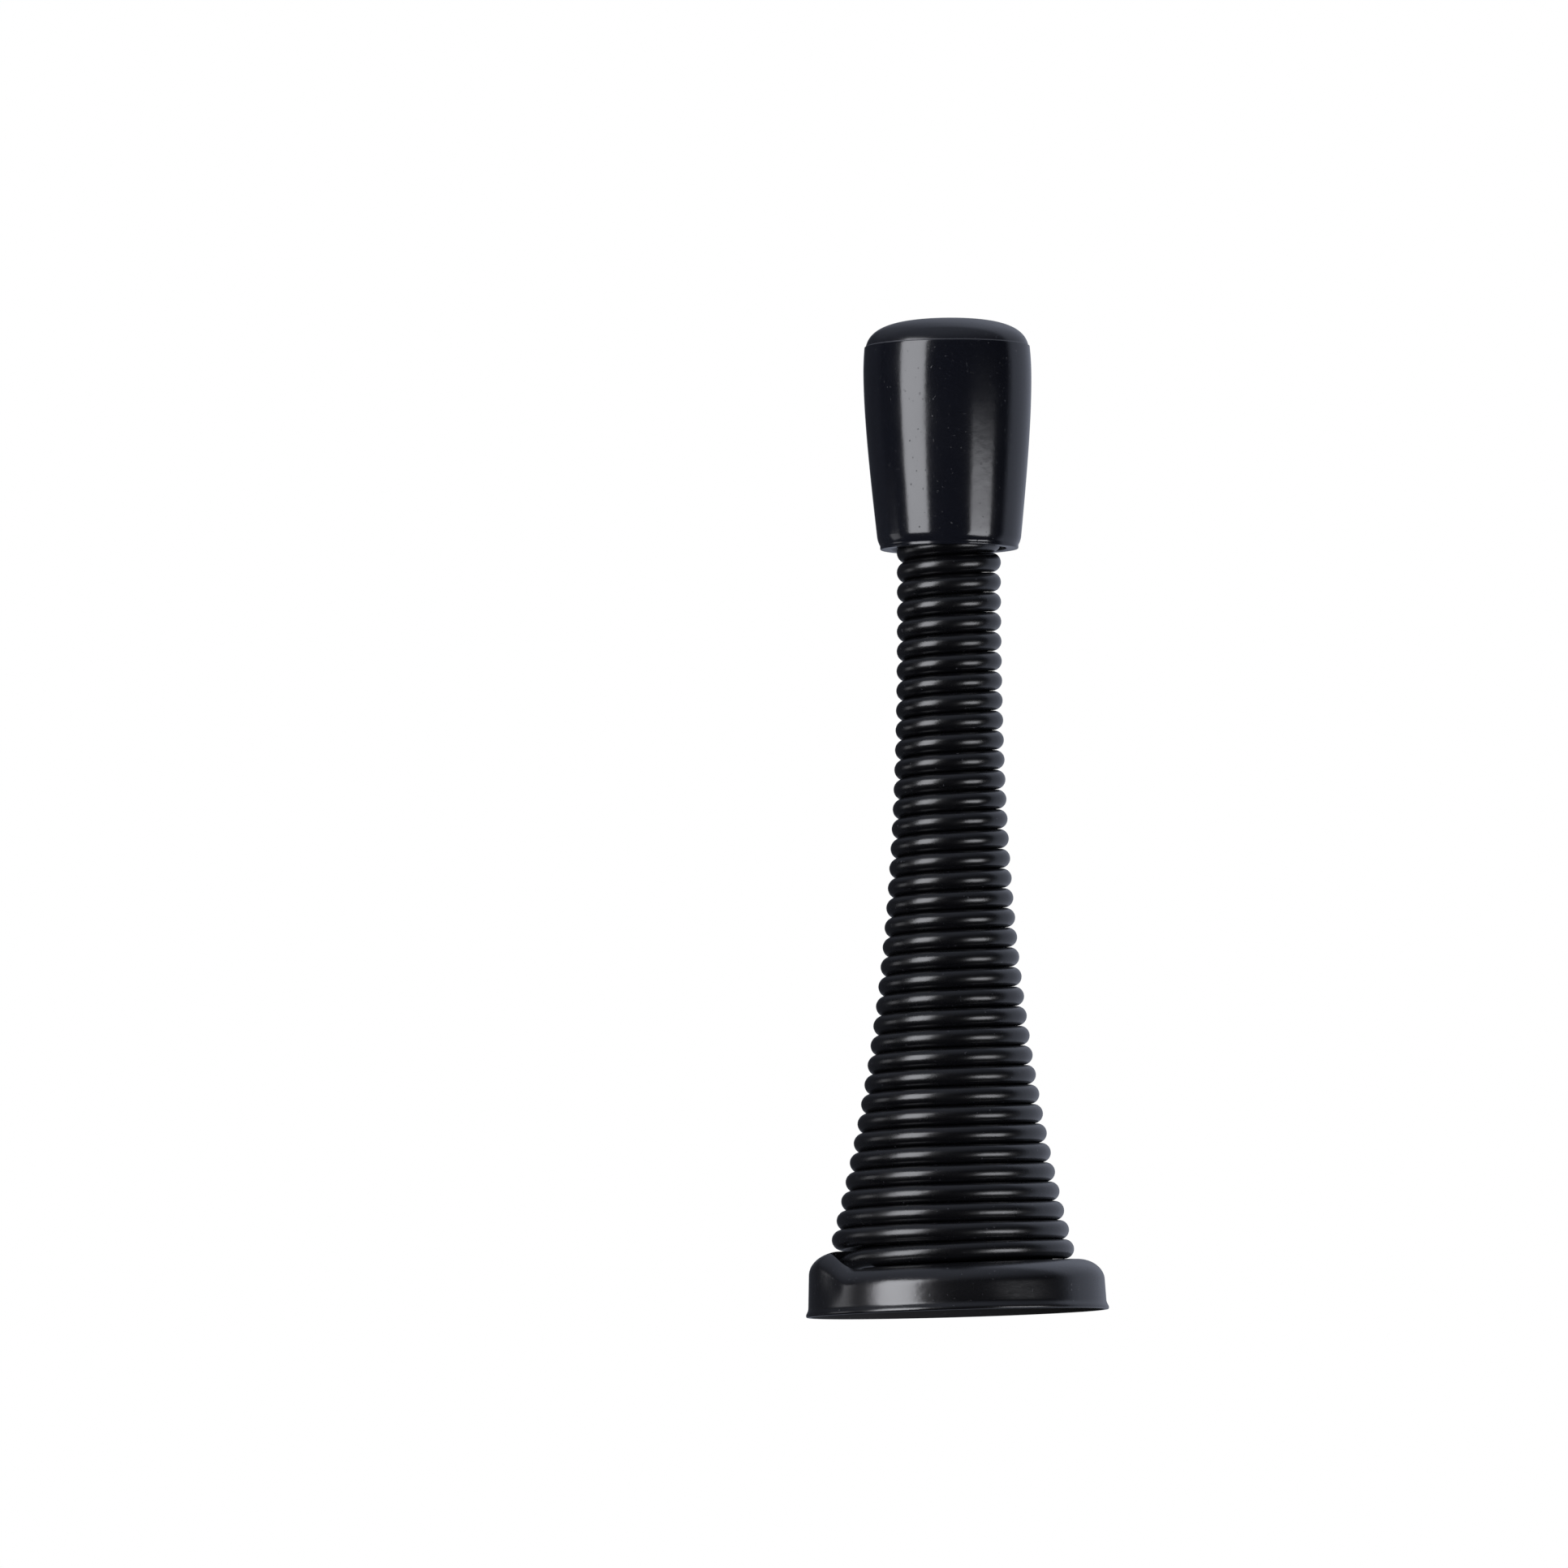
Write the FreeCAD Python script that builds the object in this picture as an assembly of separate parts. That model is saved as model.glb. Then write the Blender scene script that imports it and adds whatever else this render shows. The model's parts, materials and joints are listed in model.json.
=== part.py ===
import FreeCAD
import Part
import math
import os

# Spring door stop: a drawn sheet cup that is screwed to the skirting, a close
# wound trumpet spring that is threaded into the cup, and a moulded cap on the tip.
# Millimetres.  The wall side of the cup lies in z = 0 and the cap points up.

overall = 79.78
wire = 1.57
sheet = 0.5

# How the spring stands in its cup: tipped towards +X and set a little to -X
lean_deg = 1.5
seat_shift = -0.45

# Cup, drawn and pierced from thin sheet, its lip trimmed flat
wall_radius = 11.93
wall_draft = 0.047
lip_flare = 0.21
lip_height = 0.75
lip_turn = 0.12
lip_trim = 0.3
shoulder_reach = 2.2
shoulder_drop = 1.75
hub_gap = 0.326
hub_run = 1.3
hub_lift = 0.62
screw_hole_radius = 2.25

# The closed face of the cup is one turn of a ramp that carries the spring, and a
# fold with a window where the ramp's high end drops back to its low end
ledge_start = 4.09
ledge_rise = wire - 0.136
ledge_bend = 0.758
ledge_low_deg = -138.0
ledge_high_deg = 197.0
fold_pinch = 0.25
window_gap_in = 0.25
window_gap_out = 0.6
window_slack_deg = 3.0

# Spring, close wound: each turn lies turn_gap from the next.  Both insets run from
# the cup's wall to the middle of the wire
turn_gap = 0.0175
seat_gap = 0.02
seat_inset = 2.919
coil_top_radius = 3.395
flare_power = 2.66
first_turn_lift = 0.27
first_turn_slope = 1.5
coil_step_deg = 30.0
sweep_tolerance = 0.01

# Tail of the spring, from the first turn through the window and under the ramp
tail_inset = 3.15
tail_swell_deg = 120.0
tail_entry_slope = 1.0
tail_entry_deg = 6.0
tail_end_deg = -360.0
tail_step_deg = 15.0
landing_gap = 0.05

# Cap, moulded in one piece, with a parting seam round its end
cap_length = 18.48
cap_mouth_radius = 5.55
cap_step = 0.3
cap_waist_lift = 1.04
cap_waist_radius = 5.79
cap_waist_slope = 0.105
cap_belly_drop = 4.375
cap_belly_radius = 6.75
cap_seam_drop = 2.15
cap_seam_radius = 6.64
cap_seam_step = 0.1
cap_dome_rise = 1.3
cap_dome_lean = 0.25
cap_dome_pull = 1.7
cap_dome_reach = 5.6
cap_lean_deg = 1.1
cap_bore_depth = 13.1
cap_bore_mouth = 4.63
cap_grip_gap = 0.02
cap_lead_in = 3.0
cap_end_gap = 0.3

lean = math.radians(lean_deg)
cap_mouth = overall - cap_length
cap_floor = cap_mouth + cap_bore_depth
wire_radius = wire / 2.0
lip_radius = wall_radius + lip_flare
seat_radius = wall_radius - seat_inset
tail_radius = wall_radius - tail_inset
origin = FreeCAD.Vector(0, 0, 0)
up = FreeCAD.Vector(0, 0, 1)


def spring_to_part(x, y, s):
    # From the spring's own frame, with s along its axis, to the part's frame.
    px = seat_shift + x * math.cos(lean) + s * math.sin(lean)
    pz = s * math.cos(lean) - x * math.sin(lean)
    return FreeCAD.Vector(px, y, pz)


def smooth(u):
    return u * u * (3.0 - 2.0 * u)


def cubic(u, start, end, start_slope, end_slope):
    # Cubic from start to end over u = 0..1 with the slopes given at both ends.
    rise = end - start
    a = start_slope + end_slope - 2.0 * rise
    b = 3.0 * rise - 2.0 * start_slope - end_slope
    return start + start_slope * u + b * u * u + a * u ** 3


def ramp_height(deg):
    # Height of the ramp, which grows steeper towards its high end.
    turn = deg / 360.0
    return ledge_start + ledge_rise * turn * (1.0 + ledge_bend * turn)


first_turn_height = ramp_height(0.0) + wire_radius + first_turn_lift


def coil_radius(s):
    # Mean radius of the coil: straight in the cap, flared like a trumpet below it.
    if s >= cap_mouth:
        return coil_top_radius
    t = (cap_mouth - s) / (cap_mouth - first_turn_height)
    return coil_top_radius + (seat_radius - coil_top_radius) * t ** flare_power


def tail_height(deg):
    # Wire centre before the first turn: from below the ramp, where it lies against
    # the sheet, up through the window and onto the ramp's low end.
    under_ramp = sheet + wire_radius + seat_gap
    landing = ramp_height(ledge_low_deg) + wire_radius + landing_gap
    entry = ledge_high_deg - 360.0 - tail_entry_deg
    if deg < entry:
        return ramp_height(deg + 360.0) - under_ramp
    if deg < ledge_low_deg:
        turn = (ledge_low_deg - entry) / 360.0
        u = (deg - entry) / (ledge_low_deg - entry)
        low = ramp_height(entry + 360.0) - under_ramp
        slope = ledge_rise * (1.0 + 2.0 * ledge_bend * (entry / 360.0 + 1.0))
        return cubic(u, low, landing, slope * turn, tail_entry_slope * turn)
    turn = -ledge_low_deg / 360.0
    u = (deg - ledge_low_deg) / -ledge_low_deg
    return cubic(u, landing, first_turn_height, tail_entry_slope * turn, first_turn_slope * turn)


def wire_points():
    # The wire's centre line from its tail, which lies level in the cup, to its tip.
    points = []
    for i in range(round(-tail_end_deg / tail_step_deg)):
        deg = tail_end_deg + i * tail_step_deg
        swell = smooth(min(1.0, -deg / tail_swell_deg))
        radius = seat_radius * (1.0 - swell) + tail_radius * swell
        levelled = swell * radius * math.cos(math.radians(deg)) * math.tan(lean)
        points.append(on_turn(radius, deg, tail_height(deg) + levelled))
    pitch = wire + turn_gap
    tip = cap_floor - wire_radius - cap_end_gap
    s = first_turn_height
    deg = 0.0
    while s < tip:
        radius = coil_radius(s)
        points.append(on_turn(radius, deg, s))
        narrowing = (radius - coil_radius(s + pitch)) / pitch
        s += pitch * math.sqrt(1.0 - narrowing ** 2) * coil_step_deg / 360.0
        deg += coil_step_deg
    return points


def on_turn(radius, deg, s):
    angle = math.radians(deg)
    return spring_to_part(radius * math.cos(angle), radius * math.sin(angle), s)


def bezier(*points):
    curve = Part.BezierCurve()
    curve.setPoles([FreeCAD.Vector(r, 0, z) for r, z in points])
    return curve.toShape()


def line(a, b):
    return Part.makeLine(FreeCAD.Vector(a[0], 0, a[1]), FreeCAD.Vector(b[0], 0, b[1]))


def quarter(a, corner, b):
    # A quarter round from a to b, inside the corner between them.
    k = 0.5523
    p = (a[0] + (corner[0] - a[0]) * k, a[1] + (corner[1] - a[1]) * k)
    q = (b[0] + (corner[0] - b[0]) * k, b[1] + (corner[1] - b[1]) * k)
    return bezier(a, p, q, b)


def ogee(a, b):
    # A level-ended S curve between two radii.
    half = (b[0] - a[0]) * 0.55
    return bezier(a, (a[0] + half, a[1]), (b[0] - half, b[1]), b)


def ledge_height(deg):
    # Height of the ledge: the ramp, and past its high end the fold that drops back.
    if deg <= ledge_high_deg:
        return ramp_height(deg)
    top = ramp_height(ledge_high_deg)
    bottom = ramp_height(ledge_low_deg)
    return top + (bottom - top) * smooth((deg - ledge_high_deg) / fold_deg)


def pinch(deg):
    # How far the fold draws the top of the wall inwards.
    u = max(0.0, (deg - ledge_high_deg) / fold_deg)
    return fold_pinch * 16.0 * u * u * (1.0 - u) ** 2


ramp_deg = ledge_high_deg - ledge_low_deg
fold_deg = 360.0 - ramp_deg
hub_top = ramp_height(ledge_high_deg) + hub_lift


def cup_section(deg):
    # The sheet's section at an azimuth, from the lip over the ledge to the hub.
    ledge = ledge_height(deg)
    wall_top = ledge - shoulder_drop
    top_radius = wall_radius - wall_draft * (wall_top - lip_height) - pinch(deg)
    flat_out = top_radius - shoulder_reach
    flat_in = seat_radius - wire_radius - hub_gap
    hub_out = flat_in - hub_run
    hub_in = screw_hole_radius / 2.0
    # Inside the cup the S curve lies nearer to the axis, so that the sheet keeps
    # its thickness on the slope.
    lag = 0.7 * sheet
    lip_in = lip_radius - sheet
    bulge = lip_radius + 0.4 * lip_turn
    section = Part.Wire([
        line((lip_in, 0.0), (lip_in, -lip_trim)),
        line((lip_in, -lip_trim), (lip_radius - lip_turn, -lip_trim)),
        line((lip_radius - lip_turn, -lip_trim), (lip_radius - lip_turn, 0.0)),
        bezier((lip_radius - lip_turn, 0.0), (bulge, 0.0), (bulge, 0.4 * lip_height),
               (wall_radius, 0.55 * lip_height), (wall_radius, lip_height)),
        line((wall_radius, lip_height), (top_radius, wall_top)),
        quarter((top_radius, wall_top), (top_radius, ledge), (flat_out, ledge)),
        line((flat_out, ledge), (flat_in, ledge)),
        ogee((flat_in, ledge), (hub_out, hub_top)),
        line((hub_out, hub_top), (hub_in, hub_top)),
        line((hub_in, hub_top), (hub_in, hub_top - sheet)),
        line((hub_in, hub_top - sheet), (hub_out - lag, hub_top - sheet)),
        ogee((hub_out - lag, hub_top - sheet), (flat_in - lag, ledge - sheet)),
        line((flat_in - lag, ledge - sheet), (flat_out, ledge - sheet)),
        quarter((flat_out, ledge - sheet), (top_radius - sheet, ledge - sheet),
                (top_radius - sheet, wall_top)),
        line((top_radius - sheet, wall_top), (wall_radius - sheet, lip_height)),
        bezier((wall_radius - sheet, lip_height), (wall_radius - sheet, 0.5 * lip_height),
               (lip_in, 0.2 * lip_height), (lip_in, 0.0)),
    ])
    section.rotate(origin, up, deg)
    return section


def make_cup():
    # Loft of the sheet's sections once round, trimmed at the lip and then pierced.
    angles = [ledge_low_deg + ramp_deg * i / 22.0 for i in range(23)]
    angles += [ledge_high_deg + fold_deg * i / 6.0 for i in range(1, 6)]
    cup = Part.makeLoft([cup_section(deg) for deg in angles], True, False, True)
    hole = Part.makeCylinder(screw_hole_radius, 3 * sheet, FreeCAD.Vector(0, 0, hub_top - 2 * sheet))
    trim = Part.makeCylinder(lip_radius + sheet, 2 * lip_trim, FreeCAD.Vector(0, 0, -2 * lip_trim))
    return cup.cut(trim).cut(hole).cut(make_window())


def make_window():
    # The piece of sheet that is pierced out of the fold for the wire to pass.
    foot = FreeCAD.Vector(seat_shift, 0, hub_top / 2.0)
    sweep = fold_deg + 2 * window_slack_deg
    sector = Part.makeCylinder(tail_radius + wire_radius + window_gap_out, hub_top, foot, up, sweep)
    core = Part.makeCylinder(tail_radius - wire_radius - window_gap_in, hub_top, foot)
    window = sector.cut(core)
    window.rotate(foot, up, ledge_high_deg - window_slack_deg)
    return window


def make_spring():
    # Round section swept along the wire's centre line, with one face to each turn.
    curve = Part.BSplineCurve()
    curve.interpolate(wire_points())
    knots = [curve.getKnot(i + 1) for i in range(curve.NbKnots)]
    per_turn = round(360.0 / coil_step_deg)
    cuts = knots[:-(per_turn // 2):per_turn] + knots[-1:]
    spine = Part.Wire([curve.toShape(a, b) for a, b in zip(cuts, cuts[1:])])
    heading = curve.tangent(knots[0])[0]
    section = Part.Wire([Part.makeCircle(wire_radius, curve.value(knots[0]), heading)])
    sweep = Part.BRepOffsetAPI.MakePipeShell(spine)
    sweep.setTolerance(sweep_tolerance, sweep_tolerance, sweep_tolerance)
    sweep.setFrenetMode(True)
    sweep.add(section, False, False)
    sweep.build()
    sweep.makeSolid()
    return sweep.shape()


def turned(outline):
    return Part.Face(Part.Wire(outline)).revolve(origin, up, 360)


def make_cap():
    # The outer form sits nearly upright on the spring, and the bore follows its lean.
    waist = cap_mouth + cap_waist_lift
    belly = overall - cap_belly_drop
    seam = overall - cap_seam_drop
    step_top = cap_mouth + cap_step
    end_radius = cap_seam_radius - cap_seam_step
    rise = (belly - waist) * 0.43
    dome_foot = seam + cap_dome_rise
    body = turned([
        line((0.0, cap_mouth), (cap_mouth_radius, cap_mouth)),
        line((cap_mouth_radius, cap_mouth), (cap_mouth_radius, step_top)),
        bezier((cap_mouth_radius, step_top),
               (cap_waist_radius - cap_waist_slope * (waist - step_top) / 2.0, (step_top + waist) / 2.0),
               (cap_waist_radius, waist)),
        bezier((cap_waist_radius, waist),
               (cap_waist_radius + cap_waist_slope * rise, waist + rise),
               (cap_belly_radius, belly - 0.25 * (belly - waist)), (cap_belly_radius, belly)),
        bezier((cap_belly_radius, belly), (cap_belly_radius, (belly + seam) / 2.0),
               (cap_seam_radius, seam)),
        line((cap_seam_radius, seam), (end_radius, seam)),
        bezier((end_radius, seam), (end_radius - cap_dome_lean, dome_foot),
               (end_radius - cap_dome_pull, overall), (end_radius - cap_dome_reach, overall)),
        line((end_radius - cap_dome_reach, overall), (0.0, overall)),
        line((0.0, overall), (0.0, cap_mouth)),
    ])
    grip = coil_top_radius + wire_radius + cap_grip_gap
    grip_start = cap_mouth + cap_lead_in
    taper = (cap_bore_mouth - grip) / cap_lead_in
    below = cap_mouth - sheet
    wide = cap_bore_mouth + taper * sheet
    bore = turned([
        line((0.0, below), (wide, below)),
        line((wide, below), (grip, grip_start)),
        line((grip, grip_start), (grip, cap_floor)),
        line((grip, cap_floor), (0.0, cap_floor)),
        line((0.0, cap_floor), (0.0, below)),
    ])
    across = FreeCAD.Vector(0, 1, 0)
    bore.rotate(origin, across, lean_deg)
    bore.translate(FreeCAD.Vector(seat_shift, 0, 0))
    middle = (cap_mouth + cap_floor) / 2.0
    body.translate(FreeCAD.Vector(spring_to_part(0, 0, middle).x, 0, 0))
    body.rotate(spring_to_part(0, 0, middle), across, cap_lean_deg)
    return body.cut(bore)


os.makedirs("parts", exist_ok=True)
for name, make in (("base_cup", make_cup), ("coil_spring", make_spring), ("tip_cap", make_cap)):
    shape = make()
    shape.exportStep("parts/" + name + ".step")
    print(name, shape.isValid(), len(shape.Solids), round(shape.Volume, 2))
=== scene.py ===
# %% [markdown]
# # Spring door stop
# A drawn sheet cup, a close wound trumpet spring and a moulded cap, all black. The packed
# CAD model gives the frame, and each of its three nodes is rebuilt here as a finer mesh
# from the same measures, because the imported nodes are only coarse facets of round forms.

# %% Load the frame
import json
import math

import bpy
import numpy as np
from mathutils import Matrix, Quaternion, Vector

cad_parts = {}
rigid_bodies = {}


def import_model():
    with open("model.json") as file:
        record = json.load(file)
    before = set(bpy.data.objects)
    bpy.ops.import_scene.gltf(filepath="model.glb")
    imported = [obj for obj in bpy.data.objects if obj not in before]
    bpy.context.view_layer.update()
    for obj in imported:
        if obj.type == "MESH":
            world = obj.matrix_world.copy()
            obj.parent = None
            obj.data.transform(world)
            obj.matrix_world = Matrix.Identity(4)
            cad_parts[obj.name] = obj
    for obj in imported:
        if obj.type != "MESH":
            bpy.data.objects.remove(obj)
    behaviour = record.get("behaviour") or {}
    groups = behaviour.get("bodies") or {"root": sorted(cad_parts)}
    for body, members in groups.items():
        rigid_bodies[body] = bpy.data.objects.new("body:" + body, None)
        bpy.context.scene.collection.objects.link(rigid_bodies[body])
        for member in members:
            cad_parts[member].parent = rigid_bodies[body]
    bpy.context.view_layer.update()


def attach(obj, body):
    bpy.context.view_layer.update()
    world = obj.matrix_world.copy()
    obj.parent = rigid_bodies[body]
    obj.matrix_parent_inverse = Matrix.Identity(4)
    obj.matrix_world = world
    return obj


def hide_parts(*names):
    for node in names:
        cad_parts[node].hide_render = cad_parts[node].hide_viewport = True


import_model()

MM = 0.001

# %% [markdown]
# ## Main measures
# Everything is in millimetres until a mesh is made. The wire is of a stock gauge and the
# stop of a stock length, and the photograph gives the rest in proportion to them. The
# spring leans a little to the right in its cup, as the photographed one does.

# %% Main measures
OVERALL = 79.78  # rim to tip
WIRE = 1.57
WIRE_RADIUS = WIRE / 2
SHEET = 0.5
WALL_RADIUS = 11.93  # the cup's wall at its lip
LEAN = math.radians(1.5)
SEAT_SHIFT = -0.45  # of the spring's foot, to the right

CAP_LENGTH = 18.48
CAP_BORE_DEPTH = 13.1
CAP_MOUTH = OVERALL - CAP_LENGTH
CAP_FLOOR = CAP_MOUTH + CAP_BORE_DEPTH
print("rim 0, cap mouth", round(CAP_MOUTH, 2), "bore floor", round(CAP_FLOOR, 2), "tip", OVERALL)

# %% [markdown]
# ## The ramp
# The face of the cup is nearly one turn of a screw, so that the spring threads onto it. A
# formula serves better than a modelled thread here, because the wire and the sheet both
# need the height at any azimuth. Azimuths are in degrees from the right of the
# photograph, anticlockwise as seen from the tip, so the photograph is taken from -90.

# %% The ramp
RAMP_START = 4.09  # height at azimuth 0
RAMP_RISE = WIRE - 0.136
RAMP_BEND = 0.758
RAMP_LOW = -138.0
RAMP_HIGH = 197.0


def ramp_height(deg):
    """Start + rise * turn * (1 + bend * turn), where turn is the azimuth over 360."""
    turn = deg / 360.0
    return RAMP_START + RAMP_RISE * turn * (1 + RAMP_BEND * turn)


print("the ramp climbs", round(ramp_height(RAMP_HIGH) - ramp_height(RAMP_LOW), 2), "mm")

# %% [markdown]
# ## The spring
# One round wire, wound close. Above the cup each turn lies a wire's width over the one
# below, measured along the slope of the flare, which is how a coiler lays it. Before the
# first turn the wire comes from under the ramp and up through the cup's window. A Screw
# modifier winds a plain coil, but not one whose pitch follows its own flare, so the line
# of the wire's middle is worked out point by point.

# %% Radius of the turns
SEAT_RADIUS = WALL_RADIUS - 2.919
COIL_TOP = 3.395
FLARE_POWER = 2.66
FIRST_LIFT = 0.27
FIRST_TURN = ramp_height(0.0) + WIRE_RADIUS + FIRST_LIFT


def coil_radius(s):
    """Top radius + (seat radius - top radius) * t ** power, where t runs from 0 at the cap's
    mouth to 1 at the first turn."""
    t = max(0.0, (CAP_MOUTH - s) / (CAP_MOUTH - FIRST_TURN))
    return COIL_TOP + (SEAT_RADIUS - COIL_TOP) * t ** FLARE_POWER


print("the wire's middle narrows from", round(coil_radius(FIRST_TURN), 3), "to", coil_radius(CAP_MOUTH))

# %% Easing curves
def smooth(u):
    """0 before u = 0, 1 after u = 1, and u * u * (3 - 2u) between them."""
    u = np.clip(u, 0.0, 1.0)
    return u * u * (3.0 - 2.0 * u)


def cubic(u, start, end, start_slope, end_slope):
    """The cubic that goes from start to end over u = 0..1 with a given slope at either end."""
    rise = end - start
    a = start_slope + end_slope - 2.0 * rise
    b = 3.0 * rise - 2.0 * start_slope - end_slope
    return start + start_slope * u + b * u * u + a * u ** 3


print("smooth at 0.25:", smooth(0.25), " cubic at 0.5:", cubic(0.5, 0.0, 1.0, 0.0, 0.0))

# %% Height of the tail
TAIL_ENTRY = 6.0  # degrees before the ramp's high end
TAIL_SLOPE = 1.0  # rise per turn where the tail lands on the ramp
FIRST_SLOPE = 1.5  # rise per turn where the first turn begins
SEAT_GAP = 0.02
LANDING_GAP = 0.05


def tail_height(deg):
    """Height of the wire's middle before the first turn, in three runs: under the ramp by the sheet,
    half the wire and a gap, then a cubic up through the window, then a cubic off the ramp."""
    entry = RAMP_HIGH - 360.0 - TAIL_ENTRY
    drop = SHEET + WIRE_RADIUS + SEAT_GAP
    landing = ramp_height(RAMP_LOW) + WIRE_RADIUS + LANDING_GAP
    climb_turn, run_turn = (RAMP_LOW - entry) / 360.0, -RAMP_LOW / 360.0
    entry_slope = RAMP_RISE * (1 + 2 * RAMP_BEND * (entry / 360.0 + 1))
    under = ramp_height(deg + 360.0) - drop
    climb = cubic((deg - entry) / (RAMP_LOW - entry), ramp_height(entry + 360.0) - drop, landing,
                  entry_slope * climb_turn, TAIL_SLOPE * climb_turn)
    run = cubic((deg - RAMP_LOW) / -RAMP_LOW, landing, FIRST_TURN,
                TAIL_SLOPE * run_turn, FIRST_SLOPE * run_turn)
    return np.where(deg < entry, under, np.where(deg < RAMP_LOW, climb, run))


print("the tail lies at", [round(float(tail_height(d)), 2) for d in (-360, -250, -138, 0)])

# %% The wire's middle line
TAIL_END = -360.0
TAIL_RADIUS = WALL_RADIUS - 3.15
TAIL_SWELL = 120.0  # degrees over which the tail comes to its own radius
TURN_GAP = 0.0175
CAP_END_GAP = 0.3
WIRE_STEP = 5.625  # degrees, 64 points to a turn


def tail_line(step):
    """Azimuth, radius and height of the tail. Its radius eases from the seat's to its own. It lies level
    in the cup, so its height takes back the spring's lean: radius * cos(azimuth) * tan(lean)."""
    deg = TAIL_END + step * np.arange(round(-TAIL_END / step))
    swell = smooth(-deg / TAIL_SWELL)
    radius = SEAT_RADIUS * (1 - swell) + TAIL_RADIUS * swell
    levelled = swell * radius * np.cos(np.radians(deg)) * math.tan(LEAN)
    return np.stack([deg, radius, tail_height(deg) + levelled], axis=1)


def coil_line(step):
    """The same for the turns above. A step climbs pitch * sqrt(1 - n * n) * step / 360, where n is
    how much the radius narrows for each millimetre of pitch."""
    rows, pitch = [], WIRE + TURN_GAP
    s, deg = FIRST_TURN, 0.0
    while s < CAP_FLOOR - WIRE_RADIUS - CAP_END_GAP:
        radius = coil_radius(s)
        rows.append((deg, radius, s))
        narrowing = (radius - coil_radius(s + pitch)) / pitch
        s += pitch * math.sqrt(1 - narrowing ** 2) * step / 360.0
        deg += step
    return np.array(rows)


centre = np.concatenate([tail_line(WIRE_STEP), coil_line(WIRE_STEP)])
print("wire points", len(centre), "turns", round((centre[-1, 0] - centre[0, 0]) / 360, 2))

# %% [markdown]
# ## Meshes from grids
# A surface of rows and columns is the shortest true description of a swept or turned
# form: one formula gives every point, and neighbours are joined in fours. Spin and Array
# would repeat a section too, but leave seams to merge.

# %% Grid of faces
def grid_faces(rows, columns, wrap_rows=False, wrap_columns=False):
    """Quads that join a grid of points: row i, column j is vertex i * columns + j."""
    i = np.arange(rows if wrap_rows else rows - 1)
    j = np.arange(columns if wrap_columns else columns - 1)
    i, j = np.meshgrid(i, j, indexing="ij")
    down, right = (i + 1) % rows, (j + 1) % columns
    corners = [i * columns + j, down * columns + j, down * columns + right, i * columns + right]
    return np.stack(corners, axis=-1).reshape(-1, 4).tolist()


def closed_tube(rings):
    """Points and faces of a tube of rings, whose first and last rings are closed by one face each."""
    count, around = rings.shape[:2]
    faces = [f[::-1] for f in grid_faces(count, around, wrap_columns=True)]
    faces.append(list(range(around)))
    faces.append(list(range((count - 1) * around, count * around))[::-1])
    return rings.reshape(-1, 3), faces


print("a closed tube of 3 rings of 4 has", len(closed_tube(np.zeros((3, 4, 3)))[1]), "faces")

# %% Mesh object
SMOOTH_ANGLE = 40.0  # degrees between two faces, from which their edge is sharp


def make_object(name, points, faces, smooth_angle=SMOOTH_ANGLE):
    """A mesh object from points in millimetres, smooth but for edges sharper than the angle."""
    mesh = bpy.data.meshes.new(name)
    mesh.from_pydata((np.asarray(points) * MM).tolist(), [], faces)
    mesh.validate()
    mesh.polygons.foreach_set("use_smooth", np.ones(len(mesh.polygons), dtype=bool))
    mesh.set_sharp_from_angle(angle=math.radians(smooth_angle))
    made = bpy.data.objects.new(name, mesh)
    bpy.context.scene.collection.objects.link(made)
    print(name, "has", len(mesh.polygons), "faces")
    return made

# %% [markdown]
# ## The wire's skin
# A curve with a round bevel would draw the wire too. Rings set square to the middle line
# are as short to write, and they give a closed mesh whose ends can be domed.

# %% From the spring's frame to the part's
def spring_to_part(x, y, s):
    """A turn by the lean about y, then the foot's shift to the right: x * cos + s * sin + shift, y,
    s * cos - x * sin."""
    px = SEAT_SHIFT + x * math.cos(LEAN) + s * math.sin(LEAN)
    pz = s * math.cos(LEAN) - x * math.sin(LEAN)
    return np.stack(np.broadcast_arrays(px, y, pz), axis=-1)


print("the bore's floor lies at", spring_to_part(0.0, 0.0, CAP_FLOOR).round(2))

# %% Rings round the wire
END_DOME = ((0.93, 0.05), (0.55, 0.09))  # ring size and how far it stands out, from the last ring on


def unit(vectors):
    """Each vector over its own length."""
    return vectors / np.linalg.norm(vectors, axis=1, keepdims=True)


def wire_rings(centre, around=28):
    """Middle + radius * (out * cos + over * sin), where out points away from the spring's axis and
    over is square to it and to the wire. A low dome closes each end."""
    angle = np.radians(centre[:, 0])
    out = np.stack([np.cos(angle), np.sin(angle), np.zeros_like(angle)], axis=1)
    middle = spring_to_part(centre[:, 1] * out[:, 0], centre[:, 1] * out[:, 1], centre[:, 2])
    ahead = unit(np.gradient(middle, axis=0))
    out = unit(out - ahead * np.sum(out * ahead, axis=1, keepdims=True))
    over = np.cross(ahead, out)
    turn = np.linspace(0, 2 * math.pi, around, endpoint=False)
    ring = out[:, None] * np.cos(turn)[None, :, None] + over[:, None] * np.sin(turn)[None, :, None]
    ring *= WIRE_RADIUS
    tail = [middle[0] + ring[0] * size - ahead[0] * rise for size, rise in END_DOME]
    tip = [middle[-1] + ring[-1] * size + ahead[-1] * rise for size, rise in END_DOME]
    return np.concatenate([tail[::-1], middle[:, None] + ring, tip])


spring = make_object("spring_wire", *closed_tube(wire_rings(centre)), smooth_angle=60)
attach(spring, "root")
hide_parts("coil_spring")

# %% [markdown]
# ## The cup
# The cup is drawn from one sheet. A Screw modifier would turn a section of it round the
# axis, but only one that never changes, and here the ledge climbs the ramp and falls back
# over the fold. So the section is worked out anew at each azimuth. Its round corners are
# Bezier curves in (radius, height), which take fewer points than a bevelled edge.

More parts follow.
